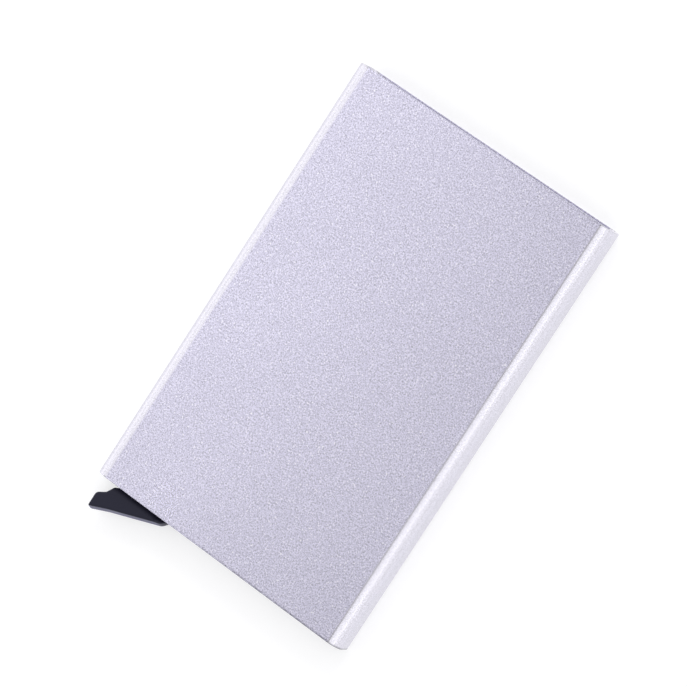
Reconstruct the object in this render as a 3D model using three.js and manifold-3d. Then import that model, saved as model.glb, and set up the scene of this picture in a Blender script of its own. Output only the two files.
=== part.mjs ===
// Slim pop-up card case: an aluminium tube open at both ends, a black end block with a
// finger lever at one corner, and soft grip strips that hold the cards.
//
// Millimetres. The case lies on its back: X runs across it, Y up to the card mouth and Z out
// of the front face. The origin is the centre of the back face.

import * as THREE from 'three';
import { mergeVertices } from 'three/addons/utils/BufferGeometryUtils.js';
import Module from 'manifold-3d';

const wasm = await Module();
wasm.setup();

const DEGREE = Math.PI / 180;

// ---------------------------------------------------------------- driving dimensions

// Case tube, an extrusion with rounded narrow sides.
const CASE_WIDTH = 63;
const CASE_LENGTH = 98;
const CASE_DEPTH = 8;
const WALL = 0.9;
const CORNER_RADIUS = 2.75;
const RIM_CHAMFER = 0.15;

// Clearances.
const FIT_GAP = 0.15; // a moulding slid into the tube
const RUN_GAP = 0.15; // between the lever and what it turns against
const PIN_GAP = 0.08; // between the pin and its bores
const SEAT_GAP = 0.3; // between mouldings that seat on each other
const GLUE_GAP = 0.1; // glue line under a strip
const SWING_GAP = 0.5; // round the path of the lever

// End block: a frame cored out from its front, and the cover that closes it.
const BLOCK_HEIGHT = 7.6;
const BLOCK_INSET = 0.3;
const PLATE = 0.6;
const RIB = 1.0;
const CORE_COUNT = 4;
const PEG_RADIUS = 0.8;
const BOSS_RADIUS = 1.5;

// Lever: a hub on a steel pin, a fin outside the case and stepped arms under the cards.
const PIVOT_FROM_SIDE = 7;
const PIVOT_FROM_END = 5.2;
const PIN_RADIUS = 1;
const PIN_CHAMFER = 0.25;
const HUB_RADIUS = 3.1;
const HUB_FLANK = 2.2;
const WEB_SLANT = 3.2;
const WEB_START = 2.4;
const WEB_OVERLAP = 1.4;
const DRAFT = 0.68; // how far each side of the moulding leans in from its parting line
const PARTING_LAND = 0.2;
const ARM_COUNT = 5;
const ARM_DEPTH = 2.4;
const ARM_TIP_DEPTH = 1.3;
const ARM_TIP_RADIUS = 0.6;
const ARM_STEP = 7.5;
const ARM_END_ROOM = 5.1;
const ARM_ROOT_INSET = 1.2;

// Fin outline at its parting line: insets are from the left side of the tube, reaches from its
// lower end, and offsets to the left of the pivot.
const FIN_TIP_INSET = 1.27;
const FIN_REACH = 8.05;
const FIN_BROW_REACH = 1;
const FIN_NECK_OFFSET = 0.7;
const FIN_NECK_DEPTH = 0.6;
const FIN_BELLY_FROM_SIDE = 6;
const FIN_BELLY_REACH = 6;
const FIN_HEEL_FROM_SIDE = 17.1;
const FIN_HEEL_REACH = 1.96;
const FIN_ROOT_WIDTH = 12.9;
const FIN_ROOT_DEPTH = 0.5;
const FIN_ROUNDING = { neck: 0.5, brow: 0.8, tip: 0.8, belly: 6, heel: 2, root: 1 };

// The thumb notch, cut straight through the fin between its horn and the tube.
const NOTCH_NECK_OFFSET = 0.4;
const NOTCH_NECK_REACH = 0.05;
const NOTCH_SHOULDER_OFFSET = 2.25;
const NOTCH_SHOULDER_REACH = 0.85;
const NOTCH_HOLLOW_OFFSET = 3.25;
const NOTCH_HOLLOW_REACH = 2.6;
const NOTCH_HORN_OFFSET = 4.8;
const NOTCH_HORN_REACH = 3.6;
const NOTCH_HORN_SLOPE = 59 * DEGREE;
const NOTCH_ROUNDING = { shoulder: 0.4, hollow: 1.2, horn: 0.6 };

// The fin thins over its heel, towards the slot, on its front and its back.
const RAMP_LENGTH = 4.8;
const RAMP_ANGLE = 27 * DEGREE;
const RAMP_TURN = 42 * DEGREE;

// Grip strips on the narrow sides: a moulded rail, a foam backing and a pile face.
const RAIL = 1.0;
const RAIL_INSET = 2;
const FOAM = 1.45;
const PILE = 0.8;
const STRIP_WIDTH = 4.2;
const STRIP_LENGTH = 60;
const STRIP_INSET = 3;
const STRIP_CORNER = 0.35;

// ---------------------------------------------------------------- worked out from them

const INNER_RADIUS = CORNER_RADIUS - WALL;
const BLOCK_LOW = WALL + FIT_GAP;
const BLOCK_FAR = CASE_WIDTH - BLOCK_LOW;
const BLOCK_FRONT = CASE_DEPTH - BLOCK_LOW;
const BLOCK_RADIUS = INNER_RADIUS - FIT_GAP;
const FLOOR_TOP = BLOCK_LOW + PLATE;
const COVER_BACK = BLOCK_FRONT - PLATE;
const LEVER_BACK = FLOOR_TOP + RUN_GAP;
const LEVER_FRONT = COVER_BACK - RUN_GAP;
const ARM_UNDERSIDE = BLOCK_HEIGHT + SEAT_GAP;
const ARM_TOP = ARM_UNDERSIDE + ARM_DEPTH;
const ARM_BACK = BLOCK_LOW + FIT_GAP;
const ARM_PITCH = (CASE_DEPTH - 2 * ARM_BACK) / ARM_COUNT;
const LONGEST_ARM = CASE_WIDTH - WALL - ARM_END_ROOM - PIVOT_FROM_SIDE;
const FIN_ROOT_LEFT = PIVOT_FROM_SIDE - FIN_NECK_OFFSET;
const FIN_ROOT_RIGHT = FIN_ROOT_LEFT + FIN_ROOT_WIDTH;
const BAY_LEFT = PIVOT_FROM_SIDE - HUB_RADIUS - SWING_GAP;
const BAY_RIGHT = PIVOT_FROM_SIDE + SWING_GAP
  + Math.hypot(FIN_ROOT_RIGHT - PIVOT_FROM_SIDE, PIVOT_FROM_END);
const CURVE_SEGMENTS = 8;
const THROUGH = 1; // how far a cutter runs past the face that it cuts

// ---------------------------------------------------------------- shapes

/** An outline through corners [x, y, radius], counter-clockwise, each corner an arc. */
function roundedOutline(corners) {
  const shape = new THREE.Shape();
  corners.forEach(([x, y, radius], index) => {
    const corner = new THREE.Vector2(x, y);
    const before = new THREE.Vector2(...corners.at(index - 1)).sub(corner).normalize();
    const after = new THREE.Vector2(...corners[(index + 1) % corners.length]).sub(corner).normalize();
    const half = Math.acos(before.dot(after)) / 2;
    const start = before.clone().multiplyScalar(radius / Math.tan(half)).add(corner);
    const end = after.clone().multiplyScalar(radius / Math.tan(half)).add(corner);
    if (index === 0) {
      shape.moveTo(start.x, start.y);
    } else {
      shape.lineTo(start.x, start.y);
    }
    if (radius === 0) {
      return;
    }
    const centre = before.clone().add(after).normalize().multiplyScalar(radius / Math.sin(half)).add(corner);
    const from = start.sub(centre).angle();
    const to = end.sub(centre).angle();
    shape.absarc(centre.x, centre.y, radius, from, to, before.cross(after) > 0);
  });
  shape.closePath();
  return shape;
}

/** A rectangle from (x0, y0) to (x1, y1) with rounded corners. */
function roundedRectangle(x0, y0, x1, y1, radius) {
  return roundedOutline([[x0, y0, radius], [x1, y0, radius], [x1, y1, radius], [x0, y1, radius]]);
}

/** An outline extruded along Z to a full depth, narrowed towards both ends by a chamfer. */
function extrusion(shape, depth, chamfer, chamferDepth) {
  return new THREE.ExtrudeGeometry(shape, {
    depth: depth - 2 * chamferDepth,
    curveSegments: CURVE_SEGMENTS,
    bevelEnabled: chamfer > 0,
    bevelThickness: chamferDepth,
    bevelSize: chamfer,
    bevelOffset: -chamfer,
    bevelSegments: 1,
  }).translate(0, 0, chamferDepth);
}

/** An outline in X and Y, from z0 to z1. Draft narrows it from a land half way up. */
function plate(shape, z0, z1, draft = 0) {
  const draftDepth = draft > 0 ? (z1 - z0 - PARTING_LAND) / 2 : 0;
  return extrusion(shape, z1 - z0, draft, draftDepth).translate(0, 0, z0);
}

/** A section in X and Z, along Y from y0 to y1, with its end rims chamfered. */
function bar(section, y0, y1, chamfer = 0) {
  return extrusion(section, y1 - y0, chamfer, chamfer).rotateX(Math.PI / 2).translate(0, y1, 0);
}

/** A box from one corner to the opposite one. */
function block([x0, y0, z0], [x1, y1, z1]) {
  const geometry = new THREE.BoxGeometry(x1 - x0, y1 - y0, z1 - z0);
  return geometry.translate((x0 + x1) / 2, (y0 + y1) / 2, (z0 + z1) / 2);
}

/** A round post along Z at (x, y), with an optional chamfer at both ends. */
function post(x, y, radius, z0, z1, chamfer = 0) {
  const profile = [
    new THREE.Vector2(0, z0),
    new THREE.Vector2(radius - chamfer, z0),
    new THREE.Vector2(radius, z0 + chamfer),
    new THREE.Vector2(radius, z1 - chamfer),
    new THREE.Vector2(radius - chamfer, z1),
    new THREE.Vector2(0, z1),
  ];
  return new THREE.LatheGeometry(profile, 3 * CURVE_SEGMENTS).rotateX(Math.PI / 2).translate(x, y, 0);
}

/** The exact solid of a closed geometry. */
function solid(geometry) {
  const bare = geometry.clone();
  bare.deleteAttribute('normal');
  bare.deleteAttribute('uv');
  const welded = mergeVertices(bare);
  return new wasm.Manifold(new wasm.Mesh({
    numProp: 3,
    vertProperties: new Float32Array(welded.attributes.position.array),
    triVerts: new Uint32Array(welded.index.array),
  }));
}

/** All the geometries joined, less all the cutters. */
function carve(geometries, cutters = []) {
  let body = geometries.map(solid).reduce((joined, next) => joined.add(next));
  for (const cutter of cutters) {
    body = body.subtract(solid(cutter));
  }
  const mesh = body.getMesh();
  const geometry = new THREE.BufferGeometry();
  geometry.setAttribute('position', new THREE.BufferAttribute(mesh.vertProperties, mesh.numProp));
  geometry.setIndex(new THREE.BufferAttribute(mesh.triVerts, 1));
  return geometry;
}

/** A named mesh with its own material. */
function piece(name, geometry, color, roughness, metalness) {
  const mesh = new THREE.Mesh(geometry, new THREE.MeshStandardMaterial({ color, roughness, metalness }));
  mesh.name = name;
  mesh.geometry.computeVertexNormals();
  return mesh;
}

// ---------------------------------------------------------------- case tube

/** The tube, centred across X, from the lower end to the mouth, with its back at z = 0. */
function caseTube() {
  const half = CASE_WIDTH / 2;
  const section = roundedRectangle(-half, 0, half, CASE_DEPTH, CORNER_RADIUS);
  section.holes.push(roundedRectangle(WALL - half, WALL, half - WALL, CASE_DEPTH - WALL, INNER_RADIUS));
  const tube = bar(section, -CASE_LENGTH / 2, CASE_LENGTH / 2, RIM_CHAMFER);
  return piece('case_tube', tube, 0xd2cfe0, 0.42, 1);
}

// ---------------------------------------------------------------- end block
// From here on, x runs from the left side of the tube and y from its lower end.

/** The cored-out pockets' left edges and their width, right of the lever's bay. */
function cores() {
  const start = BAY_RIGHT + RIB;
  const width = (BLOCK_FAR - BLOCK_RADIUS - start) / CORE_COUNT - RIB;
  return Array.from({ length: CORE_COUNT }, (_, index) => [start + index * (width + RIB), width]);
}

/** Centres of the pegs, one on each rib between two cores. */
function pegCentres() {
  return cores().slice(1).map(([left]) => [left - RIB / 2, BLOCK_HEIGHT / 2]);
}

/** The outline of the cover, or of its seat when it grows by a gap. */
function coverOutline(grow) {
  const left = BLOCK_LOW + BLOCK_RADIUS + SEAT_GAP - grow;
  const right = BLOCK_FAR - BLOCK_RADIUS - SEAT_GAP + grow;
  return { left, right, low: BLOCK_INSET - grow, high: BLOCK_HEIGHT + grow };
}

/** The moulded frame that closes the tube and carries the pin. */
function endFrame() {
  const outline = roundedRectangle(BLOCK_LOW, BLOCK_LOW, BLOCK_FAR, BLOCK_FRONT, BLOCK_RADIUS);
  const seat = coverOutline(FIT_GAP);
  const beyond = BLOCK_FRONT + THROUGH;
  const bay = block(
    [BAY_LEFT, -THROUGH, FLOOR_TOP],
    [BAY_RIGHT, BLOCK_HEIGHT + THROUGH, beyond],
  );
  const coverSeat = block(
    [seat.left, seat.low - THROUGH, COVER_BACK - GLUE_GAP],
    [seat.right, seat.high + THROUGH, beyond],
  );
  const pockets = cores().map(([left, width]) => block(
    [left, RIB, FLOOR_TOP],
    [left + width, BLOCK_HEIGHT - RIB, beyond],
  ));
  const shell = carve(
    [bar(outline, BLOCK_INSET, BLOCK_HEIGHT)],
    [bay, coverSeat, ...pockets],
  );
  const bosses = pegCentres().flatMap(([x, y]) => [
    post(x, y, BOSS_RADIUS, FLOOR_TOP - PLATE / 2, COVER_BACK - GLUE_GAP),
    post(x, y, PEG_RADIUS, FLOOR_TOP, BLOCK_FRONT - GLUE_GAP),
  ]);
  const pinHole = post(
    PIVOT_FROM_SIDE, PIVOT_FROM_END, PIN_RADIUS + PIN_GAP, BLOCK_LOW - THROUGH, FLOOR_TOP + THROUGH,
  );
  return piece('end_frame', carve([shell, ...bosses], [pinHole]), 0x26262c, 0.5, 0);
}

/** The flat cover over the lever's bay and the cores, held by the pegs. */
function endCover() {
  const { left, right, low, high } = coverOutline(0);
  const holes = pegCentres().map(([x, y]) => (
    post(x, y, PEG_RADIUS + FIT_GAP, COVER_BACK - THROUGH, BLOCK_FRONT + THROUGH)
  ));
  const pinHole = post(
    PIVOT_FROM_SIDE, PIVOT_FROM_END, PIN_RADIUS + PIN_GAP, COVER_BACK - THROUGH, BLOCK_FRONT + THROUGH,
  );
  const body = block([left, low, COVER_BACK], [right, high, BLOCK_FRONT]);
  return piece('end_cover', carve([body], [pinHole, ...holes]), 0x26262c, 0.5, 0);
}

/** The steel pin that the lever turns on. */
function pivotPin() {
  const pin = post(
    PIVOT_FROM_SIDE, PIVOT_FROM_END, PIN_RADIUS, BLOCK_LOW + GLUE_GAP, BLOCK_FRONT - GLUE_GAP, PIN_CHAMFER,
  );
  return piece('pivot_pin', pin, 0xb9bcc2, 0.25, 1);
}

// ---------------------------------------------------------------- lever

/** Hub, web and fin, as one flat outline about the pin. */
function leverOutline() {
  const hubLeft = PIVOT_FROM_SIDE - HUB_RADIUS;
  const webTop = ARM_UNDERSIDE + WEB_OVERLAP;
  const round = FIN_ROUNDING;
  const corners = [
    [hubLeft, PIVOT_FROM_END + HUB_RADIUS, HUB_RADIUS - RUN_GAP],
    [hubLeft, PIVOT_FROM_END - HUB_FLANK, HUB_FLANK],
    [FIN_ROOT_LEFT, FIN_NECK_DEPTH, round.neck],
    [FIN_TIP_INSET, -FIN_BROW_REACH, round.brow],
    [FIN_TIP_INSET, -FIN_REACH, round.tip],
    [FIN_BELLY_FROM_SIDE, -FIN_BELLY_REACH, round.belly],
    [FIN_HEEL_FROM_SIDE, -FIN_HEEL_REACH, round.heel],
    [FIN_ROOT_RIGHT, FIN_ROOT_DEPTH, round.root],
    [FIN_ROOT_RIGHT - WEB_SLANT, webTop, round.root],
    [PIVOT_FROM_SIDE + WEB_START, webTop, round.root],
  ];
  return roundedOutline(corners.map(([x, y, radius]) => [x - PIVOT_FROM_SIDE, y - PIVOT_FROM_END, radius]));
}

/** The waste above the horn, left of the neck and below the hub's flank. */
function thumbNotch() {
  const far = 2 * FIN_REACH;
  const round = NOTCH_ROUNDING;
  const corners = [
    [-NOTCH_NECK_OFFSET, NOTCH_NECK_REACH, 0],
    [-NOTCH_SHOULDER_OFFSET, NOTCH_SHOULDER_REACH, round.shoulder],
    [-NOTCH_HOLLOW_OFFSET, NOTCH_HOLLOW_REACH, round.hollow],
    [-NOTCH_HORN_OFFSET, NOTCH_HORN_REACH, round.horn],
    [
      -NOTCH_HORN_OFFSET - far * Math.cos(NOTCH_HORN_SLOPE),
      NOTCH_HORN_REACH + far * Math.sin(NOTCH_HORN_SLOPE),
      0,
    ],
    [-NOTCH_HORN_OFFSET - far, 0, 0],
    [-NOTCH_NECK_OFFSET - HUB_FLANK, NOTCH_NECK_REACH - HUB_FLANK, 0],
  ];
  const outline = roundedOutline(corners.map(([x, reach, radius]) => [x, -reach - PIVOT_FROM_END, radius]));
  return plate(outline, 0, CASE_DEPTH);
}

/** One arm's outline, with a level top that the card stands on and a tapered underside. */
function armOutline(reach) {
  const top = ARM_TOP - PIVOT_FROM_END;
  return roundedOutline([
    [ARM_ROOT_INSET, top - ARM_DEPTH, 0],
    [reach, top - ARM_TIP_DEPTH, ARM_TIP_RADIUS / 2],
    [reach, top, ARM_TIP_RADIUS],
    [ARM_ROOT_INSET, top, ARM_TIP_RADIUS],
  ]);
}

/** The waste over the heel of the fin, outside the tube: the front's (side 1) or the back's (-1). */
function heelRamp(side) {
  const depth = LEVER_FRONT - LEVER_BACK;
  const low = side > 0 ? 0 : -depth;
  const cutter = block([0, -2 * RAMP_LENGTH, low], [2 * RAMP_LENGTH, RAMP_LENGTH, low + depth]);
  cutter.rotateY(side * RAMP_ANGLE).rotateZ(RAMP_TURN);
  const x = FIN_ROOT_RIGHT - RAMP_LENGTH - PIVOT_FROM_SIDE;
  cutter.translate(x, -PIVOT_FROM_END, side > 0 ? LEVER_FRONT : LEVER_BACK);
  const kept = block([0, FIN_ROOT_DEPTH - PIVOT_FROM_END, 0], [CASE_WIDTH, ARM_TOP, CASE_DEPTH]);
  return carve([cutter], [kept]);
}

/** The moulded lever: each arm reaches further than the one in front of it. */
function ejectLever() {
  const flat = plate(leverOutline(), LEVER_BACK, LEVER_FRONT, DRAFT);
  const body = carve([flat], [thumbNotch(), heelRamp(1), heelRamp(-1)]);
  const arms = Array.from({ length: ARM_COUNT }, (_, index) => plate(
    armOutline(LONGEST_ARM - index * ARM_STEP),
    ARM_BACK,
    ARM_BACK + (index + 1) * ARM_PITCH,
  ));
  const bore = post(0, 0, PIN_RADIUS + PIN_GAP, LEVER_BACK - THROUGH, LEVER_FRONT + THROUGH);
  const lever = piece('eject_lever', carve([body, ...arms], [bore]), 0x33323e, 0.45, 0);
  lever.position.set(PIVOT_FROM_SIDE, PIVOT_FROM_END, 0);
  return lever;
}

// ---------------------------------------------------------------- grip strips

/** The rail against one narrow side: the tube's inner outline, cut back to a thin slice. */
function sideRail(name, left) {
  const outline = roundedRectangle(BLOCK_LOW, BLOCK_LOW, BLOCK_FAR, BLOCK_FRONT, BLOCK_RADIUS);
  const low = BLOCK_HEIGHT + SEAT_GAP;
  const high = CASE_LENGTH - RAIL_INSET;
  const waste = block(
    [left ? BLOCK_LOW + RAIL : 0, 0, 0],
    [left ? CASE_WIDTH : BLOCK_FAR - RAIL, CASE_LENGTH, CASE_DEPTH],
  );
  return piece(name, carve([bar(outline, low, high)], [waste]), 0x2b2b30, 0.55, 0);
}

/** A soft strip of one thickness, whose back stands off the narrow side of the tube. */
function softStrip(name, left, back, thickness, color) {
  const x = left ? back : CASE_WIDTH - back - thickness;
  const z = (CASE_DEPTH - STRIP_WIDTH) / 2;
  const section = roundedRectangle(x, z, x + thickness, z + STRIP_WIDTH, STRIP_CORNER);
  const high = CASE_LENGTH - STRIP_INSET;
  return piece(name, bar(section, high - STRIP_LENGTH, high), color, 0.95, 0);
}

/** Rail, foam and pile on one narrow side. */
function gripStrip(side) {
  const left = side === 'left';
  const foamBack = BLOCK_LOW + RAIL + GLUE_GAP;
  const pileBack = foamBack + FOAM + GLUE_GAP;
  return [
    sideRail(`side_rail_${side}`, left),
    softStrip(`foam_strip_${side}`, left, foamBack, FOAM, 0x3a3a3f),
    softStrip(`pile_strip_${side}`, left, pileBack, PILE, 0x1d1d20),
  ];
}

// ---------------------------------------------------------------- assembly

const cardCase = new THREE.Group();
const insides = new THREE.Group();
insides.position.set(-CASE_WIDTH / 2, -CASE_LENGTH / 2, 0);
insides.add(endFrame(), endCover(), pivotPin(), ejectLever());
insides.add(...gripStrip('left'), ...gripStrip('right'));
cardCase.add(caseTube(), insides);

export default cardCase;
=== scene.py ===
"""Looks of a slim aluminium card case with a stepped ejector lever.

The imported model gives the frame. The case is an open-ended extrusion that lies on its back: X runs
across it, Y along it to the mouth, and Z out of its front. Each class below dresses one
sub-assembly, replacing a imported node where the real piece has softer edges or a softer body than
the node shows. Lengths are in metres unless a name ends in _mm.
"""

import logging
import math
import random
from dataclasses import dataclass
from enum import Enum
from typing import Any, Sequence

import bmesh
import bpy
from mathutils import Matrix, Vector, noise


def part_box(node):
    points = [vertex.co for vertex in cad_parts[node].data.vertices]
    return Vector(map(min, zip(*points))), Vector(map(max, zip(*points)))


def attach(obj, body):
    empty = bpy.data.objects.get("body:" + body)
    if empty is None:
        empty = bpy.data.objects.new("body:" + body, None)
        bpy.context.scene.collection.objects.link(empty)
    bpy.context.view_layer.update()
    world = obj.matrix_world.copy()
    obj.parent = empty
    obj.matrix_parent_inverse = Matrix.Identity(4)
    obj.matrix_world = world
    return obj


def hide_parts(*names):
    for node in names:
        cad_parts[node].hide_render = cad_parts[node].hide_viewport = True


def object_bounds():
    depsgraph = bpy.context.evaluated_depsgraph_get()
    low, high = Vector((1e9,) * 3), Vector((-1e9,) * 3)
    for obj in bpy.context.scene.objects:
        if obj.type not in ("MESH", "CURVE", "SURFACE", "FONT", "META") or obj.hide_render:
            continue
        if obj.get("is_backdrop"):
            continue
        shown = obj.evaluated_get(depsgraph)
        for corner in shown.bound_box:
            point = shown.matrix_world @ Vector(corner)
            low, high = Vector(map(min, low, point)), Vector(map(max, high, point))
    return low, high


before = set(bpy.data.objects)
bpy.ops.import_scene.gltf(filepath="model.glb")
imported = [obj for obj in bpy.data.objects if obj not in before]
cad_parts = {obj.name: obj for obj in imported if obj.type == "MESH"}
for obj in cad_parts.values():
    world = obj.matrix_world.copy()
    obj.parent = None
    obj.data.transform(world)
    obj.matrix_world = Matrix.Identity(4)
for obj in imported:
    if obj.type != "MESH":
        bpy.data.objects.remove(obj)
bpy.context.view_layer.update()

LOG = logging.getLogger("card_case")
MM = 0.001

WELD_REACH = 0.0005 * MM  # facet corners nearer than this are one point
SAME_PLACE = 1e-7  # metres, for telling whether a point is on a face
NOISE_LOW, NOISE_HIGH = 0.3, 0.7  # nearly all of a noise pattern lies between these
TINT_LOW, TINT_HIGH = 0.2, 0.8  # wider, so that a tint seldom stops at its end
CASE_BODY = "case"

Point = tuple[float, float, float]
Colour = tuple[float, float, float, float]


# ---------------------------------------------------------------------------------------------
# Shader nodes
# ---------------------------------------------------------------------------------------------


def linear(hex_colour: str) -> Colour:
    """Turn an sRGB hex colour into the linear colour that shaders use.

    Args:
        hex_colour: Colour written as "#RRGGBB".

    Returns:
        Linear red, green and blue, with an alpha of one.
    """
    channels = []
    for start in (1, 3, 5):
        value = int(hex_colour[start:start + 2], 16) / 255
        channels.append(value / 12.92 if value <= 0.04045 else ((value + 0.055) / 1.055) ** 2.4)
    return (channels[0], channels[1], channels[2], 1.0)


def add(
    tree: bpy.types.NodeTree,
    kind: str,
    inputs: dict[int | str, Any] | None = None,
    **settings: Any,
) -> bpy.types.Node:
    """Add one shader node with its settings and links.

    Args:
        tree: Node tree that the node goes into.
        kind: Node type, such as "ShaderNodeTexNoise".
        inputs: Socket name or index to a value, or to an output socket that is linked to it.
        **settings: Properties of the node itself.

    Returns:
        The new node.
    """
    node = tree.nodes.new(kind)
    for name, value in settings.items():
        setattr(node, name, value)
    for socket, value in (inputs or {}).items():
        if isinstance(value, bpy.types.NodeSocket):
            tree.links.new(value, node.inputs[socket])
        else:
            node.inputs[socket].default_value = value
    return node


def per_metre(size_mm: float) -> float:
    """Give the scale of a pattern whose features have a real size.

    Args:
        size_mm: Size of one feature, in millimetres.

    Returns:
        Repeats per metre.
    """
    return 1.0 / (size_mm * MM)


class Side(Enum):
    """A narrow side of the case, by the way along X that its grips face."""

    LEFT = 1.0
    RIGHT = -1.0


@dataclass(frozen=True)
class Finish:
    """What every finish has: a name, a base colour and the shader's uniform values.

    Attributes:
        name: Material name, after the real material and how it was made.
        colour: Base colour, in sRGB hex.
        roughness: Middle of the roughness range.
        metallic: One for a metal, zero for anything else.
        ior: Refractive index. A metal keeps the shader's default.
    """

    name: str
    colour: str
    roughness: float
    metallic: float = 0.0
    ior: float = 1.5

    def material(self) -> bpy.types.Material:
        """Make the material, or give back the one already made."""
        known = bpy.data.materials.get(self.name)
        if known is not None:
            return known
        material = bpy.data.materials.new(self.name)
        material.use_nodes = True
        tree = material.node_tree
        tree.nodes.clear()
        shader = add(
            tree,
            "ShaderNodeBsdfPrincipled",
            {"Metallic": self.metallic, "IOR": self.ior, "Base Color": linear(self.colour)},
        )
        add(tree, "ShaderNodeOutputMaterial", {"Surface": shader.outputs["BSDF"]})
        place = add(tree, "ShaderNodeTexCoord").outputs["Object"]
        self.detail(tree, shader, place)
        return material

    def detail(
        self, tree: bpy.types.NodeTree, shader: bpy.types.Node, place: bpy.types.NodeSocket
    ) -> None:
        """Add the grain, tint and wear of this finish to its shader.

        Args:
            tree: The material's node tree.
            shader: Its Principled shader.
            place: Position on the piece, in metres.
        """
        raise NotImplementedError


def tinted(
    tree: bpy.types.NodeTree, colour: str, factor: bpy.types.NodeSocket, low: float, high: float
) -> bpy.types.NodeSocket:
    """Scale a colour's brightness by a pattern.

    Args:
        tree: Node tree to add to.
        colour: Colour in sRGB hex, before it is scaled.
        factor: Pattern, from zero to one.
        low: Brightness where the pattern is zero.
        high: Brightness where it is one.

    Returns:
        The colour output.
    """
    level = add(
        tree, "ShaderNodeMapRange", {0: factor, 1: TINT_LOW, 2: TINT_HIGH, 3: low, 4: high}
    )
    scaled = add(
        tree, "ShaderNodeVectorMath", {0: linear(colour)[:3], "Scale": level.outputs[0]},
        operation="SCALE",
    )
    return scaled.outputs["Vector"]


def spread(
    tree: bpy.types.NodeTree, factor: bpy.types.NodeSocket, middle: float, reach: float
) -> bpy.types.NodeSocket:
    """Turn the usual span of a noise pattern into a value and its reach each way.

    Args:
        tree: Node tree to add to.
        factor: Noise pattern, from zero to one.
        middle: Value at the pattern's middle.
        reach: How far the value goes each way.

    Returns:
        The value output.
    """
    return add(
        tree, "ShaderNodeMapRange",
        {0: factor, 1: NOISE_LOW, 2: NOISE_HIGH, 3: middle - reach, 4: middle + reach},
    ).outputs[0]


def emboss(
    tree: bpy.types.NodeTree,
    shader: bpy.types.Node,
    height: bpy.types.NodeSocket,
    strength: float,
    depth_mm: float,
) -> None:
    """Shade a surface as if a pattern stood out of it.

    Args:
        tree: Node tree to add to.
        shader: Principled shader that is shaded.
        height: Pattern, from zero to one.
        strength: Share of the relief that shows.
        depth_mm: Height of the relief.
    """
    relief = add(
        tree, "ShaderNodeBump", {"Height": height, "Strength": strength, "Distance": depth_mm * MM}
    ).outputs["Normal"]
    tree.links.new(relief, shader.inputs["Normal"])


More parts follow.
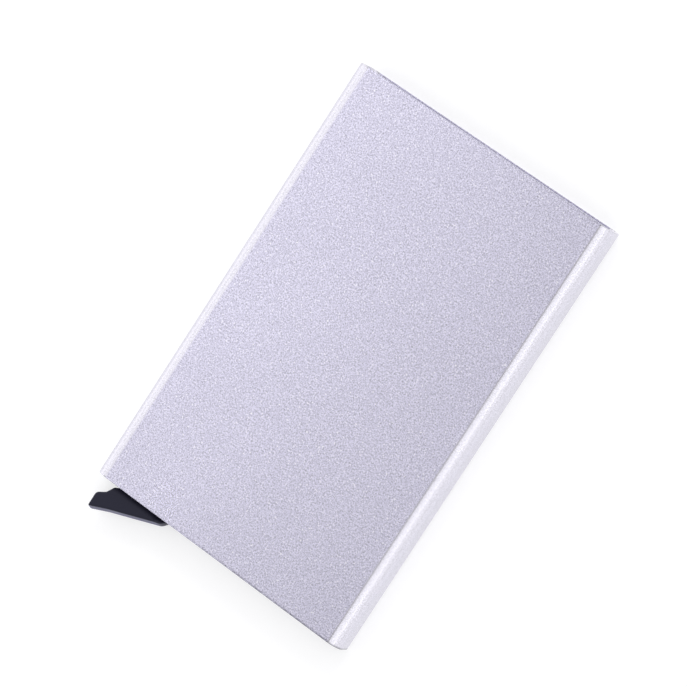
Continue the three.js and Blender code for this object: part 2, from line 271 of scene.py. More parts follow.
@dataclass(frozen=True)
class BeadBlastedAluminium(Finish):
    """Extruded aluminium, bead blasted and clear anodised.

    The blasting gives a fine, even grain that breaks up every reflection into a soft sheen, and the
    anodising leaves it cool and slightly lavender. The bends are smoother and more neutral, and the
    sawn rims are polished by handling. A painted shade darkens the rims, faintly at the mouth and on
    the lower rim more and more toward +X.

    The shell's mesh marks its flat faces, its rims and the painted rim shade in point attributes.

    Attributes:
        edge_colour: Colour of the bends, where the film is thinner.
        grain_mm: Size of the dimples.
        speck_mm: Size of the specks between them.
        grain_share: Share of the dimples in the pattern; the specks have the rest.
        grain_middle: Value of the raw pattern that keeps the base colour.
        edge_grain: Share of the grain that is left on the bends.
        contrast: How far the grain's extremes lie from the base brightness.
        cloud_mm: Size of slow changes in roughness.
        cloud_roughness: How far those changes go each way.
        face_roughness: How much rougher the broad faces are than the bends.
        rim_polish: How much smoother the rims are.
        rim_shade_strength: How much darker the painted shade makes the rims.
        dimple_depth_mm: Depth of the dimples.
        dimple_strength: Strength of their shading.
    """

    edge_colour: str = "#D9D7E1"
    grain_mm: float = 0.32  # real dimples are near 0.1 mm; drawn coarser so that they show
    speck_mm: float = 0.2
    grain_share: float = 0.72
    grain_middle: float = 0.51
    edge_grain: float = 0.3
    contrast: float = 0.72
    cloud_mm: float = 26.0
    cloud_roughness: float = 0.03
    face_roughness: float = 0.04
    rim_polish: float = 0.12
    rim_shade_strength: float = 0.22
    dimple_depth_mm: float = 0.012
    dimple_strength: float = 0.55

    def detail(
        self, tree: bpy.types.NodeTree, shader: bpy.types.Node, place: bpy.types.NodeSocket
    ) -> None:
        """Add blasted dimples, mottling, painted rim shade, slow clouds and smoother rims."""
        flat, rim, dulled = (
            add(tree, "ShaderNodeAttribute", attribute_name=name).outputs["Fac"]
            for name in ("flat", "rim", "dulled")
        )
        grain_and_rim_shade = self.grain_and_rim_shade(tree, place, flat, dulled)
        # the colour carries the grain and the painted shade on the rims
        blasted = add(
            tree, "ShaderNodeMix",
            {
                0: flat,
                6: tinted(tree, self.edge_colour, grain_and_rim_shade, 1 - self.contrast, 1 + self.contrast),
                7: tinted(tree, self.colour, grain_and_rim_shade, 1 - self.contrast, 1 + self.contrast),
            },
            data_type="RGBA",
        ).outputs[2]
        tree.links.new(blasted, shader.inputs["Base Color"])

        clouds = add(
            tree, "ShaderNodeTexNoise",
            {"Vector": place, "Scale": per_metre(self.cloud_mm), "Detail": 2.0},
        ).outputs["Fac"]
        rough = spread(tree, clouds, self.roughness, self.cloud_roughness)
        for attribute, change in ((rim, -self.rim_polish), (flat, self.face_roughness)):
            rough = add(
                tree, "ShaderNodeMath", {0: attribute, 1: change, 2: rough},
                operation="MULTIPLY_ADD",
            ).outputs[0]
        tree.links.new(rough, shader.inputs["Roughness"])
        emboss(tree, shader, grain_and_rim_shade, self.dimple_strength, self.dimple_depth_mm)

    def grain_and_rim_shade(
        self,
        tree: bpy.types.NodeTree,
        place: bpy.types.NodeSocket,
        flat: bpy.types.NodeSocket,
        dulled: bpy.types.NodeSocket,
    ) -> bpy.types.NodeSocket:
        """Add the pattern of dimples and specks, weaker on the bends, with painted rim shade.

        Args:
            tree: The material's node tree.
            place: Position on the piece, in metres.
            flat: One on the broad faces, zero on the bends.
            dulled: Share of painted shade on the rims, from zero to one.

        Returns:
            The pattern, about 0.5 in the middle.
        """
        grain = add(
            tree, "ShaderNodeTexNoise",
            {"Vector": place, "Scale": per_metre(self.grain_mm), "Detail": 3.0, "Roughness": 0.62},
        ).outputs["Fac"]
        specks = add(
            tree, "ShaderNodeTexVoronoi",
            {"Vector": place, "Scale": per_metre(self.speck_mm), "Randomness": 1.0},
            feature="F1",
        ).outputs["Distance"]
        pattern = add(
            tree, "ShaderNodeMath", {0: grain, 1: self.grain_share}, operation="MULTIPLY"
        ).outputs[0]
        pattern = add(
            tree, "ShaderNodeMath", {0: specks, 1: 1 - self.grain_share, 2: pattern},
            operation="MULTIPLY_ADD",
        ).outputs[0]
        centred = add(
            tree, "ShaderNodeMath", {0: pattern, 1: self.grain_middle}, operation="SUBTRACT"
        ).outputs[0]
        shown = add(
            tree, "ShaderNodeMapRange", {0: flat, 1: 0.0, 2: 1.0, 3: self.edge_grain, 4: 1.0}
        ).outputs[0]
        pattern = add(
            tree, "ShaderNodeMath", {0: centred, 1: shown, 2: 0.5}, operation="MULTIPLY_ADD"
        ).outputs[0]
        # painted shade: lowers the pattern on the rims, and so darkens their colour
        return add(
            tree, "ShaderNodeMath", {0: dulled, 1: -self.rim_shade_strength, 2: pattern},
            operation="MULTIPLY_ADD",
        ).outputs[0]


@dataclass(frozen=True)
class MouldedPlastic(Finish):
    """Injection-moulded plastic from a spark-eroded mould.

    The mould's texture gives a fine pebble that scatters highlights; the resin is dyed through, so
    its colour hardly varies, and handled places are a little smoother. A painted shade dims the
    gloss and the bloom in recesses, and a faint bloom catches the light on walls that are seen edge
    on.

    Attributes:
        pebble_mm: Size of the pebble.
        pebble_depth_mm: Depth of the pebble.
        pebble_strength: Strength of its shading.
        patch_mm: Size of the handled patches.
        polish: How much smoother or rougher the patches are.
        gloss_tint: Colour of the highlights.
        gloss: Specular level in the open.
        recess_shade_gloss: Specular level deep in a recess, where the painted shade is deepest.
        recess_mm: How near another surface must be to count as a recess.
        recess_open: Shares of open space that a recess ends between.
        recess_samples: Rays that feel for the recess.
        bloom: Weight of the bloom in the open.
        bloom_tint: Colour of the bloom.
        bloom_roughness: How widely the bloom spreads.
    """

    pebble_mm: float = 0.3  # real spark texture is near 0.05 mm; drawn coarser so that it shows
    pebble_depth_mm: float = 0.008
    pebble_strength: float = 0.5
    patch_mm: float = 6.0
    polish: float = 0.06
    gloss_tint: str = "#D6D6F4"
    gloss: float = 0.5
    recess_shade_gloss: float = 0.02
    recess_mm: float = 1.9
    recess_open: tuple[float, float] = (0.78, 0.98)
    recess_samples: int = 8
    bloom: float = 0.8
    bloom_tint: str = "#8C8AE0"
    bloom_roughness: float = 0.25

    def detail(
        self, tree: bpy.types.NodeTree, shader: bpy.types.Node, place: bpy.types.NodeSocket
    ) -> None:
        """Add the mould's pebble, slight tint changes and patches polished by handling."""
        shader.inputs["Specular Tint"].default_value = linear(self.gloss_tint)
        shader.inputs["Sheen Roughness"].default_value = self.bloom_roughness
        shader.inputs["Sheen Tint"].default_value = linear(self.bloom_tint)
        pebble = add(
            tree, "ShaderNodeTexNoise",
            {"Vector": place, "Scale": per_metre(self.pebble_mm), "Detail": 2.0, "Roughness": 0.55},
        ).outputs["Fac"]
        tree.links.new(tinted(tree, self.colour, pebble, 0.82, 1.18), shader.inputs["Base Color"])
        patches = add(
            tree, "ShaderNodeTexNoise",
            {"Vector": place, "Scale": per_metre(self.patch_mm), "Detail": 3.0},
        ).outputs["Fac"]
        rough = spread(tree, patches, self.roughness, self.polish)
        tree.links.new(rough, shader.inputs["Roughness"])
        emboss(tree, shader, pebble, self.pebble_strength, self.pebble_depth_mm)

        # painted shade: gloss and bloom fade near other surfaces, as where the fin enters the case
        open_air = add(
            tree, "ShaderNodeAmbientOcclusion", {"Distance": self.recess_mm * MM},
            samples=self.recess_samples,
        ).outputs["AO"]
        shut, clear = self.recess_open
        gloss = add(
            tree, "ShaderNodeMapRange",
            {0: open_air, 1: shut, 2: clear, 3: self.recess_shade_gloss, 4: self.gloss},
        ).outputs[0]
        tree.links.new(gloss, shader.inputs["Specular IOR Level"])
        bloom = add(
            tree, "ShaderNodeMath", {0: gloss, 1: self.bloom / self.gloss}, operation="MULTIPLY"
        ).outputs[0]
        tree.links.new(bloom, shader.inputs["Sheen Weight"])


@dataclass(frozen=True)
class GroundSteel(Finish):
    """Hard steel pin, ground along its length: fine streaks with a clean, cool glint.

    Attributes:
        streak_mm: Width of a streak.
        stretch: Scale along each axis; the small one draws the streaks out along the pin.
        streak_depth_mm: Depth of the streaks.
        streak_strength: Strength of their shading.
        smoother: How much smoother than the middle a streak gets.
        rougher: How much rougher than the middle it gets.
    """

    streak_mm: float = 0.06
    stretch: Point = (1.0, 1.0, 0.04)
    streak_depth_mm: float = 0.003
    streak_strength: float = 0.3
    smoother: float = 0.06
    rougher: float = 0.08

    def detail(
        self, tree: bpy.types.NodeTree, shader: bpy.types.Node, place: bpy.types.NodeSocket
    ) -> None:
        """Add grinding streaks to the colour, roughness and surface."""
        stretched = add(
            tree, "ShaderNodeVectorMath", {0: place, 1: self.stretch}, operation="MULTIPLY"
        ).outputs["Vector"]
        streaks = add(
            tree, "ShaderNodeTexNoise",
            {"Vector": stretched, "Scale": per_metre(self.streak_mm), "Detail": 2.0},
        ).outputs["Fac"]
        tree.links.new(tinted(tree, self.colour, streaks, 0.88, 1.1), shader.inputs["Base Color"])
        low, high = self.roughness - self.smoother, self.roughness + self.rougher
        rough = add(
            tree, "ShaderNodeMapRange", {0: streaks, 1: NOISE_LOW, 2: NOISE_HIGH, 3: low, 4: high}
        ).outputs[0]
        tree.links.new(rough, shader.inputs["Roughness"])
        emboss(tree, shader, streaks, self.streak_strength, self.streak_depth_mm)


@dataclass(frozen=True)
class ClosedCellFoam(Finish):
    """Die-cut EVA foam: small burst cells, painted shade in their floors and painted light on walls.

    Attributes:
        cell_mm: Size of a cell.
        wall_share: How far a cell's wall reaches into it, as a share of the cell.
        cell_depth_mm: Depth of the cells.
        cell_strength: Strength of their shading.
    """

    cell_mm: float = 0.32
    wall_share: float = 0.28
    cell_depth_mm: float = 0.05
    cell_strength: float = 0.8

    def detail(
        self, tree: bpy.types.NodeTree, shader: bpy.types.Node, place: bpy.types.NodeSocket
    ) -> None:
        """Add cut cells to the surface, and painted shade and light to the colour."""
        cells = add(
            tree, "ShaderNodeTexVoronoi", {"Vector": place, "Scale": per_metre(self.cell_mm)},
            feature="DISTANCE_TO_EDGE",
        ).outputs["Distance"]
        walls = add(
            tree, "ShaderNodeMapRange", {0: cells, 1: 0.0, 2: self.wall_share, 3: 1.0, 4: 0.0}
        ).outputs[0]
        # painted shade in the cell floors and painted light on their walls
        tree.links.new(tinted(tree, self.colour, walls, 0.7, 1.5), shader.inputs["Base Color"])
        emboss(tree, shader, walls, self.cell_strength, self.cell_depth_mm)
        shader.inputs["Roughness"].default_value = self.roughness


@dataclass(frozen=True)
class CutPile(Finish):
    """Nylon pile cut level on a woven backing: each fibre catches the light at its edge.

    Attributes:
        lock_mm: Size of a lock of fibres with one shade of dye.
        sheen: Weight of the fibres' sheen.
        sheen_roughness: How widely the sheen spreads.
    """

    lock_mm: float = 1.1
    sheen: float = 0.5
    sheen_roughness: float = 0.35

    def detail(
        self, tree: bpy.types.NodeTree, shader: bpy.types.Node, place: bpy.types.NodeSocket
    ) -> None:
        """Add locks of slightly different dye and the fibres' sheen."""
        locks = add(
            tree, "ShaderNodeTexNoise",
            {"Vector": place, "Scale": per_metre(self.lock_mm), "Detail": 3.0},
        ).outputs["Fac"]
        tree.links.new(tinted(tree, self.colour, locks, 0.6, 1.4), shader.inputs["Base Color"])
        shader.inputs["Roughness"].default_value = self.roughness
        shader.inputs["Sheen Weight"].default_value = self.sheen
        shader.inputs["Sheen Roughness"].default_value = self.sheen_roughness


@dataclass(frozen=True)
class OpalBoard(Finish):
    """Opal acrylic light table: matt white, lit a little from below, so that shadows stay faint.

    Attributes:
        stipple_mm: Size of its faint stipple.
        glow: Strength of the light from below.
    """

    stipple_mm: float = 3.0
    glow: float = 0.575

    def detail(
        self, tree: bpy.types.NodeTree, shader: bpy.types.Node, place: bpy.types.NodeSocket
    ) -> None:
        """Add the sheet's faint stipple and its light from below."""
        stipple = add(
            tree, "ShaderNodeTexNoise",
            {"Vector": place, "Scale": per_metre(self.stipple_mm), "Detail": 2.0},
        ).outputs["Fac"]
        tree.links.new(tinted(tree, self.colour, stipple, 0.985, 1.01), shader.inputs["Base Color"])
        shader.inputs["Roughness"].default_value = self.roughness
        shader.inputs["Emission Color"].default_value = linear("#FFFFFF")
        shader.inputs["Emission Strength"].default_value = self.glow


ALUMINIUM = BeadBlastedAluminium("bead_blasted_aluminium", "#D9D6EA", 0.26, metallic=1.0)
LEVER_PLASTIC = MouldedPlastic("moulded_acetal", "#14141F", 0.34, ior=1.48)
FRAME_PLASTIC = MouldedPlastic("moulded_abs", "#17171B", 0.5, ior=1.53, bloom=0.1)
PIN_STEEL = GroundSteel("ground_steel", "#C9CBD0", 0.26, metallic=1.0)
EVA_FOAM = ClosedCellFoam("die_cut_eva_foam", "#2A2A2E", 0.88)
NYLON_PILE = CutPile("cut_nylon_pile", "#202024", 0.8)
WHITE_BOARD = OpalBoard("opal_acrylic", "#B4B4B6", 0.75)


# ---------------------------------------------------------------------------------------------
# Mesh building
# ---------------------------------------------------------------------------------------------


def dress(piece: bpy.types.Object, finish: Finish) -> None:
    """Put a finish on every material slot of a piece.

    Args:
        piece: Object to dress.
        finish: Finish it gets.
    """
    if not piece.material_slots:
        piece.data.materials.append(None)
    for slot in piece.material_slots:
        slot.link = "OBJECT"
        slot.material = finish.material()


def new_piece(
    name: str, mesh: bpy.types.Mesh, body: str, finish: Finish
) -> bpy.types.Object:
    """Put a finished mesh in the scene as a piece of the object.

    Args:
        name: Piece name.
        mesh: Its mesh, in the shared frame.
        body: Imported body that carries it.
        finish: Finish it gets.

    Returns:
        The new object.
    """
    piece = bpy.data.objects.new(name, mesh)
    bpy.context.scene.collection.objects.link(piece)
    dress(piece, finish)
    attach(piece, body)
    LOG.info("%s: %d faces on %s", name, len(mesh.polygons), body)
    return piece


def soften_node(name: str, finish: Finish, voxel_mm: float, passes: int) -> None:
    """Round a packed moulding's edges a little with modifiers, and dress it.

    Args:
        name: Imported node.
        finish: Finish it gets.
        voxel_mm: Size of the cells that the moulding is rebuilt with.
        passes: How often its surface is relaxed; more makes rounder edges.
    """
    node = bpy.data.objects[name]
    weld = node.modifiers.new("join_facets", "WELD")
    weld.merge_threshold = WELD_REACH
    remesh = node.modifiers.new("even_skin", "REMESH")
    remesh.mode = "VOXEL"
    remesh.voxel_size = voxel_mm * MM
    remesh.use_smooth_shade = True
    smooth = node.modifiers.new("soft_edges", "SMOOTH")
    smooth.factor = 0.5
    smooth.iterations = passes
    dress(node, finish)
    LOG.info("%s: softened and dressed", name)


def rounded_section(
    width: float, depth: float, radius: float, arc_steps: int
) -> list[tuple[float, float]]:
    """Give a rounded rectangle about the origin, as a closed anticlockwise run of points.

    Args:
        width: Its size along the first axis.
        depth: Its size along the second axis.
        radius: Corner radius.
        arc_steps: Straight steps that each corner is drawn with.

    Returns:
        The points, without repeating the first.
    """
    points = []
    for quarter, (sx, sz) in enumerate(((1, 1), (-1, 1), (-1, -1), (1, -1))):
        centre_x, centre_z = sx * (width / 2 - radius), sz * (depth / 2 - radius)
        for step in range(arc_steps + 1):
            angle = math.pi / 2 * (quarter + step / arc_steps)
            x, z = centre_x + radius * math.cos(angle), centre_z + radius * math.sin(angle)
            points.append((x, z))
    return points


# ---------------------------------------------------------------------------------------------
# Sub-assemblies
# ---------------------------------------------------------------------------------------------


@dataclass
class CaseShell:
    """The aluminium extrusion, open at both ends.

    Attributes:
        wall: Wall thickness.
        corner: Outer radius of its long edges.
        rim: Radius that its sawn ends are broken with.
        worn: How far in from an end the anodising is polished by handling.
        arc_steps: Straight steps in each rounded corner.
        rim_steps: Straight steps across each broken edge.
        mouth_rim_shade: Share of the painted rim shade at the mouth.
        rim_shade_start: How far the painted shade on the lower rim is held back from the middle.
        rim_shade_slope: How fast it grows toward +X, over half the case's width.
    """

    wall: float = 0.9 * MM
    corner: float = 2.75 * MM
    rim: float = 0.15 * MM
    worn: float = 0.5 * MM
    arc_steps: int = 24
    rim_steps: int = 4
    mouth_rim_shade: float = 0.1
    rim_shade_start: float = 0.35
    rim_shade_slope: float = 1.35

    def build(self) -> None:
        """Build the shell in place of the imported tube."""
        low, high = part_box("case_tube")
        rings = self.wall_path(low.y, high.y)
        centre = (low + high) / 2
        width, depth = high.x - low.x, high.z - low.z
        mesh = bpy.data.meshes.new("case_shell")
        shell = bmesh.new()
        rim_layer = shell.verts.layers.float.new("rim")
        flat_layer = shell.verts.layers.float.new("flat")
        painted_rim_shade_layer = shell.verts.layers.float.new("dulled")
        loops = []
        for inset, y, handled in rings:
            loop = []
            section = rounded_section(
                width - 2 * inset, depth - 2 * inset, self.corner - inset, self.arc_steps
            )
            for step, (x, z) in enumerate(section):
                vert = shell.verts.new((centre.x + x, y, centre.z + z))
                vert[rim_layer] = handled
                vert[flat_layer] = float(step in self.flat_ends())
                # painted shade on the rims: faint at the mouth, growing along the lower rim toward
                # +X
                vert[painted_rim_shade_layer] = handled * self.rim_shade_share(y > centre.y, 2 * x / width)
                loop.append(vert)
            loops.append(loop)
        for loop, after in zip(loops, loops[1:] + loops[:1]):
            for index in range(len(loop)):
                ahead = (index + 1) % len(loop)
                shell.faces.new((loop[index], after[index], after[ahead], loop[ahead]))
        bmesh.ops.recalc_face_normals(shell, faces=shell.faces)
        for face in shell.faces:
            face.smooth = True
        shell.to_mesh(mesh)
        shell.free()
        piece = new_piece("case_shell", mesh, CASE_BODY, ALUMINIUM)
        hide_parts("case_tube")
        normals = piece.modifiers.new("flat_faces_stay_flat", "WEIGHTED_NORMAL")
        normals.mode = "FACE_AREA"
        normals.weight = 100
        normals.keep_sharp = False

    def rim_shade_share(self, at_mouth: bool, across: float) -> float:
        """Give the share of painted shade at a point of a rim.

        Args:
            at_mouth: Whether the rim is the mouth's.
            across: Place along X, from -1 at the left side to 1 at the right.

        Returns:
            A share from zero to one.
        """
        if at_mouth:
            return self.mouth_rim_shade
        return min(max(self.rim_shade_slope * across - self.rim_shade_start, 0.0), 1.0)

    def flat_ends(self) -> set[int]:
        """Find where the two broad faces begin and end.

        Returns:
            Those points of the section, by their places in its run.
        """
        arc = self.arc_steps + 1
        return {arc - 1, arc, 3 * arc - 1, 3 * arc}

    def wall_path(self, y0: float, y1: float) -> list[tuple[float, float, float]]:
        """Trace the wall: up its outside, over the mouth's rim, down its inside and round again.

        Args:
            y0: Lower end of the case.
            y1: Mouth end of the case.

        Returns:
            For each ring of the wall: its inset, its place along Y and its share of wear, which also
            scales the painted rim shade.
        """
        quarter = [
            (1 - math.cos(math.pi / 2 * step / self.rim_steps),
             1 - math.sin(math.pi / 2 * step / self.rim_steps))
            for step in range(self.rim_steps + 1)
        ]
        mouth_outer = [(self.rim * a, y1 - self.rim * b, 1.0) for a, b in quarter]
        mouth_inner = [(self.wall - inset, y, worn) for inset, y, worn in reversed(mouth_outer)]
        lower_inner = [(inset, y0 + (y1 - y), worn) for inset, y, worn in reversed(mouth_inner)]
        lower_outer = [(inset, y0 + (y1 - y), worn) for inset, y, worn in reversed(mouth_outer)]
        return [
            (0.0, y0 + self.worn, 0.0),
            (0.0, y1 - self.worn, 0.0),
            *mouth_outer,
            *mouth_inner,
            (self.wall, y1 - self.worn, 0.0),
            (self.wall, y0 + self.worn, 0.0),
            *lower_inner,
            *lower_outer,
        ]


@dataclass
class LowerEnd:
    """The moulded frame that closes the lower end, its cover and the lever's pin.

    Attributes:
        voxel_mm: Size of the cells that the mouldings are rebuilt with.
        passes: How often their surfaces are relaxed.
    """

    voxel_mm: float = 0.19
    passes: int = 3

    def build(self) -> None:
        """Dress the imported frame, cover and pin."""
        soften_node("end_frame", FRAME_PLASTIC, self.voxel_mm, self.passes)
        soften_node("end_cover", FRAME_PLASTIC, self.voxel_mm, self.passes)
        dress(bpy.data.objects["pivot_pin"], PIN_STEEL)


@dataclass
class EjectorLever:
    """The one-piece lever: a fin outside the case, a hub on the pin and five stepped arms.

    Attributes:
        voxel_mm: Size of the cells that the moulding is rebuilt with.
        passes: How often its surface is relaxed.
    """

    voxel_mm: float = 0.13
    passes: int = 4

    def build(self) -> None:
        """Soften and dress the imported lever."""
        soften_node("eject_lever", LEVER_PLASTIC, self.voxel_mm, self.passes)


@dataclass
class SideGrips:
    """The rails, foam and pile that hold the cards along both narrow sides.

    Attributes:
        foam_step: Size of the foam's surface cells.
        foam_relief: Depth of its pores.
        pore: Size of its pores.
        fill: How full the foam is.
        fibre_pitch: Spacing of the pile's fibres.
        fibre_width: Width of one fibre at its root.
        fibre_taper: Width of its cut end, as a share of its root.
        fibre_lean: How far its cut end strays each way, in millimetres.
        stray: How far a root strays, as a share of the pitch.
        shortest: Shortest fibre, as a share of the strip's depth.
        longest: Longest fibre, as a share of the strip's depth.
        backing: Thickness of the pile's woven backing.
        sunk: Where the roots start, as a share of the backing.
        seed: Seed for the fibres' strays.
    """

    foam_step: float = 0.18 * MM
    foam_relief: float = 0.035 * MM
    pore: float = 0.3 * MM
    fill: float = 0.9
    fibre_pitch: float = 0.22 * MM
    fibre_width: float = 0.14 * MM
    fibre_taper: float = 0.55
    fibre_lean: float = 0.09
    stray: float = 0.8
    shortest: float = 0.82
    longest: float = 0.99
    backing: float = 0.2 * MM
    sunk: float = 0.8
    seed: int = 7

    def build(self) -> None:
        """Dress the rails and build both sides' foam and pile."""
        for side in Side:
            dress(bpy.data.objects[f"side_rail_{side.name.lower()}"], FRAME_PLASTIC)
            self.build_foam(side)
            self.build_pile(side)

    def build_foam(self, side: Side) -> None:
        """Build one foam strip in place of its packed block.

        Args:
            side: Narrow side that it is on.
        """
        node = f"foam_strip_{side.name.lower()}"
        low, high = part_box(node)
        size, centre = high - low, (low + high) / 2
        strip = bmesh.new()
        bmesh.ops.create_cube(strip, size=1.0)
        for axis, normal in enumerate((Vector((1, 0, 0)), Vector((0, 1, 0)), Vector((0, 0, 1)))):
            cuts = max(3, round(size[axis] / self.foam_step))
            for cut in range(1, cuts):
                geometry = strip.verts[:] + strip.edges[:] + strip.faces[:]
                bmesh.ops.bisect_plane(
                    strip, geom=geometry, plane_co=normal * (cut / cuts - 0.5), plane_no=normal
                )
        for vert in strip.verts:
            place = Vector(vert.co[axis] * size[axis] for axis in range(3)) + centre
            pull = self.foam_relief * (noise.noise(place / self.pore) * 0.5 + 0.5)
            for axis in (0, 2):
                offset = place[axis] - centre[axis]
                if abs(offset) > size[axis] / 2 - SAME_PLACE:
                    place[axis] -= math.copysign(pull, offset)
            vert.co = place
        for face in strip.faces:
            face.smooth = True
        name = f"foam_{side.name.lower()}"
        mesh = bpy.data.meshes.new(name)
        strip.to_mesh(mesh)
        strip.free()
        piece = new_piece(name, mesh, CASE_BODY, EVA_FOAM)
        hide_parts(node)

    def build_pile(self, side: Side) -> None:
        """Build one pile strip, fibre by fibre, in place of its packed block.

        Args:
            side: Narrow side that it is on.
        """
        node = f"pile_strip_{side.name.lower()}"
        low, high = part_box(node)
        inward = side.value
        root = low.x if side is Side.LEFT else high.x
        dice = random.Random(self.seed)
        strip = bmesh.new()
        self.add_backing(strip, low, high, root, inward)
        width, pitch, lean_mm = self.fibre_width, self.fibre_pitch, self.fibre_lean
        for column in range(int((high.y - low.y - width) / pitch)):
            for row in range(int((high.z - low.z - width) / pitch)):
                y = low.y + width + (column + dice.uniform(0.0, self.stray)) * pitch
                z = low.z + width + (row + dice.uniform(0.0, self.stray)) * pitch
                length = (high.x - low.x) * dice.uniform(self.shortest, self.longest)
                lean_y, lean_z = dice.uniform(-lean_mm, lean_mm), dice.uniform(-lean_mm, lean_mm)
                foot = Vector((root + inward * self.backing * self.sunk, y, z))
                tip = Vector((root + inward * length, y, z)) + Vector((0.0, lean_y, lean_z)) * MM
                tip.z = min(max(tip.z, low.z), high.z)
                tip.y = min(max(tip.y, low.y), high.y)
                self.add_fibre(strip, foot, tip, dice.uniform(0.0, math.tau))
        name = f"pile_{side.name.lower()}"
        mesh = bpy.data.meshes.new(name)
        strip.to_mesh(mesh)
        strip.free()
        piece = new_piece(name, mesh, CASE_BODY, NYLON_PILE)
        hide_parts(node)

    def add_backing(
        self, strip: bmesh.types.BMesh, low: Vector, high: Vector, root: float, inward: float
    ) -> None:
        """Add the woven backing that the fibres stand on.

        Args:
            strip: Mesh to add to.
            low: Lowest corner of the strip.
            high: Highest corner of the strip.
            root: Where the backing is glued, along X.
            inward: Which way along X the fibres stand.
        """
        made = bmesh.ops.create_cube(strip, size=1.0)["verts"]
        middle = (low + high) / 2
        centre = Vector((root + inward * self.backing / 2, middle.y, middle.z))
        scale = Vector((self.backing, high.y - low.y, high.z - low.z))
        for vert in made:
            vert.co = Vector(vert.co[axis] * scale[axis] for axis in range(3)) + centre

    def add_fibre(
        self, strip: bmesh.types.BMesh, foot: Vector, tip: Vector, turn: float
    ) -> None:
        """Add one fibre with three flat sides and a cut end.

        Args:
            strip: Mesh to add to.
            foot: Centre of its root.
            tip: Centre of its cut end.
            turn: How far it is twisted about its own line.
        """
        rings = []
        for centre, width in ((foot, self.fibre_width), (tip, self.fibre_width * self.fibre_taper)):
            rings.append([
                strip.verts.new(centre + Vector((
                    0.0,
                    width / 2 * math.cos(turn + corner * math.tau / 3),
                    width / 2 * math.sin(turn + corner * math.tau / 3),
                )))
                for corner in range(3)
            ])
        for corner in range(3):
            ahead = (corner + 1) % 3
            strip.faces.new((rings[0][corner], rings[0][ahead], rings[1][ahead], rings[1][corner]))
        strip.faces.new(rings[1])
        strip.faces.new(rings[0][::-1])


# ---------------------------------------------------------------------------------------------
# Studio
# ---------------------------------------------------------------------------------------------


@dataclass(frozen=True)
class Softbox:
    """A rectangular studio lamp behind diffusing cloth.

    Attributes:
        name: Lamp name.
        place: Where its middle is.
        aim: What it faces.
        width: Its size across.
        height: Its size up its slope.
        glow: How bright its cloth looks, where one is plain white.
        mirrored: Whether the case reflects it; a gridded lamp lights the board alone.
    """

    name: str
    place: Point
    aim: Point
    width: float
    height: float
    glow: float
    mirrored: bool = True

    def build(self) -> None:
        """Hang the lamp."""
        lamp = bpy.data.lights.new(self.name, "AREA")
        lamp.shape = "RECTANGLE"
        lamp.size = self.width
        lamp.size_y = self.height
        lamp.energy = self.glow * math.pi * self.width * self.height
        holder = bpy.data.objects.new(self.name, lamp)
        holder.location = self.place
        toward = Vector(self.aim) - Vector(self.place)
        holder.rotation_euler = toward.to_track_quat("-Z", "Y").to_euler()
        holder.visible_camera = False
        holder.visible_glossy = self.mirrored
        bpy.context.scene.collection.objects.link(holder)


@dataclass(frozen=True)
class Camera:
    """The studio camera, by where it stands around the case's middle.

    Attributes:
        turn_deg: How far it stands toward +X from straight above.
        rise_deg: How far it stands toward +Y.
        roll_deg: How far it is turned about its own line of sight.
        distance: From the lens to the case's middle, along the line of sight.
        pan_mm: How far the case's middle is right of and above the middle of the view.
        focal_mm: Focal length on a 36 mm sensor.
    """

    turn_deg: float = 18.661
    rise_deg: float = 6.982
    roll_deg: float = 32.934
    distance: float = 0.70038
    pan_mm: tuple[float, float] = (2.138, -2.298)
    focal_mm: float = 185.28

    def build(self, middle: Vector) -> None:
        """Stand the camera and make it the scene's.

        Args:
            middle: Centre of the case.
        """
        turn, rise, roll = (math.radians(a) for a in (self.turn_deg, self.rise_deg, self.roll_deg))
        back = Vector((
            math.sin(turn) * math.cos(rise), math.sin(rise), math.cos(turn) * math.cos(rise)
        ))
        level = Vector((math.cos(turn), 0.0, -math.sin(turn)))
        upright = back.cross(level)
        right = level * math.cos(roll) + upright * math.sin(roll)
        up = upright * math.cos(roll) - level * math.sin(roll)
        place = middle + back * self.distance
        place -= right * self.pan_mm[0] * MM + up * self.pan_mm[1] * MM
        data = bpy.data.cameras.new("studio_camera")
        data.lens = self.focal_mm
        data.sensor_width = 36.0
        data.clip_start = 0.01
        holder = bpy.data.objects.new("studio_camera", data)
        turned = Matrix((right, up, back)).transposed().to_4x4()
        holder.matrix_world = Matrix.Translation(place) @ turned
        bpy.context.scene.collection.objects.link(holder)
        bpy.context.scene.camera = holder


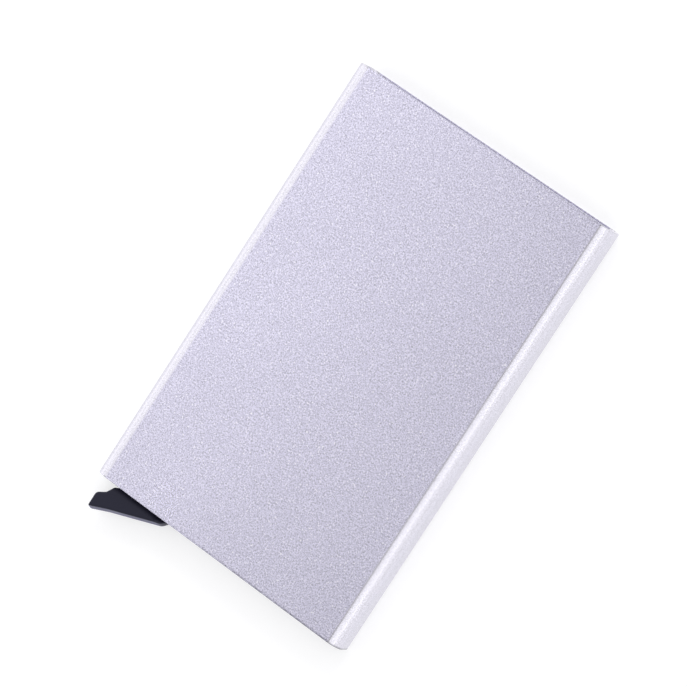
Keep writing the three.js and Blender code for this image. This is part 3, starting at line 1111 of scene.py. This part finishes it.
@dataclass
class Studio:
    """White board, white tent, soft lamps and the camera.

    Attributes:
        board_half: Half the board's width.
        zenith: Brightness of the tent overhead.
        horizon: Its brightness at the board's level.
    """

    board_half: float = 3.0
    zenith: float = 0.40
    horizon: float = 1.1

    def build(self) -> None:
        """Lay the board, hang the lamps and stand the camera."""
        self.build_board()
        self.build_sky()
        for lamp in self.lamps():
            lamp.build()
        low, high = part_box("case_tube")
        Camera().build((low + high) / 2)
        bpy.context.scene.view_settings.view_transform = "Standard"

    def lamps(self) -> Sequence[Softbox]:
        """Give the lamps.

        Returns:
            One that the face reflects, two for the right bend, one for the left bend, and one from
            behind the mouth that draws the soft shadow.
        """
        return (
            Softbox("face_softbox", (-0.547, 0.08, 0.797), (0.0, 0.08, 0.0), 0.84, 0.66, 0.72),
            Softbox("edge_softbox", (0.42, -0.08, 0.91), (0.0, -0.08, 0.0), 1.1, 0.91, 0.85),
            Softbox("fill_softbox", (0.87, -0.08, 0.50), (0.0, -0.08, 0.0), 1.1, 0.54, 0.42),
            Softbox("low_softbox", (-0.92, -0.05, 0.29), (0.0, -0.05, 0.0), 1.1, 0.72, 0.45),
            Softbox(
                "rear_gridded", (-0.15, 0.75, 0.62), (0.0, 0.0, 0.0), 0.60, 0.40, 3.6,
                mirrored=False,
            ),
        )

    def build_board(self) -> None:
        """Lay a wide white board under the case."""
        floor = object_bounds()[0].z
        mesh = bpy.data.meshes.new("white_board")
        half = self.board_half
        corners = [
            (-half, -half, floor), (half, -half, floor), (half, half, floor), (-half, half, floor)
        ]
        mesh.from_pydata(corners, [], [(0, 1, 2, 3)])
        board = bpy.data.objects.new("white_board", mesh)
        bpy.context.scene.collection.objects.link(board)
        dress(board, WHITE_BOARD)
        board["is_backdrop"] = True

    def build_sky(self) -> None:
        """Surround the set with a white tent that is dimmer overhead."""
        world = bpy.data.worlds.new("studio_tent")
        world.use_nodes = True
        tree = world.node_tree
        tree.nodes.clear()
        way = add(tree, "ShaderNodeTexCoord").outputs["Generated"]
        height = add(tree, "ShaderNodeSeparateXYZ", {0: way}).outputs["Z"]
        level = add(
            tree, "ShaderNodeMapRange", {0: height, 1: 0.0, 2: 1.0, 3: self.horizon, 4: self.zenith}
        ).outputs[0]
        glow = add(
            tree, "ShaderNodeBackground", {"Strength": level, "Color": linear("#FFFFFF")}
        )
        add(tree, "ShaderNodeOutputWorld", {"Surface": glow.outputs[0]})
        bpy.context.scene.world = world


def main() -> None:
    """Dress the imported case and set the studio."""
    logging.basicConfig(level=logging.INFO, format="%(name)s: %(message)s")
    CaseShell().build()
    LowerEnd().build()
    EjectorLever().build()
    SideGrips().build()
    Studio().build()


if __name__ == "__main__":
    main()
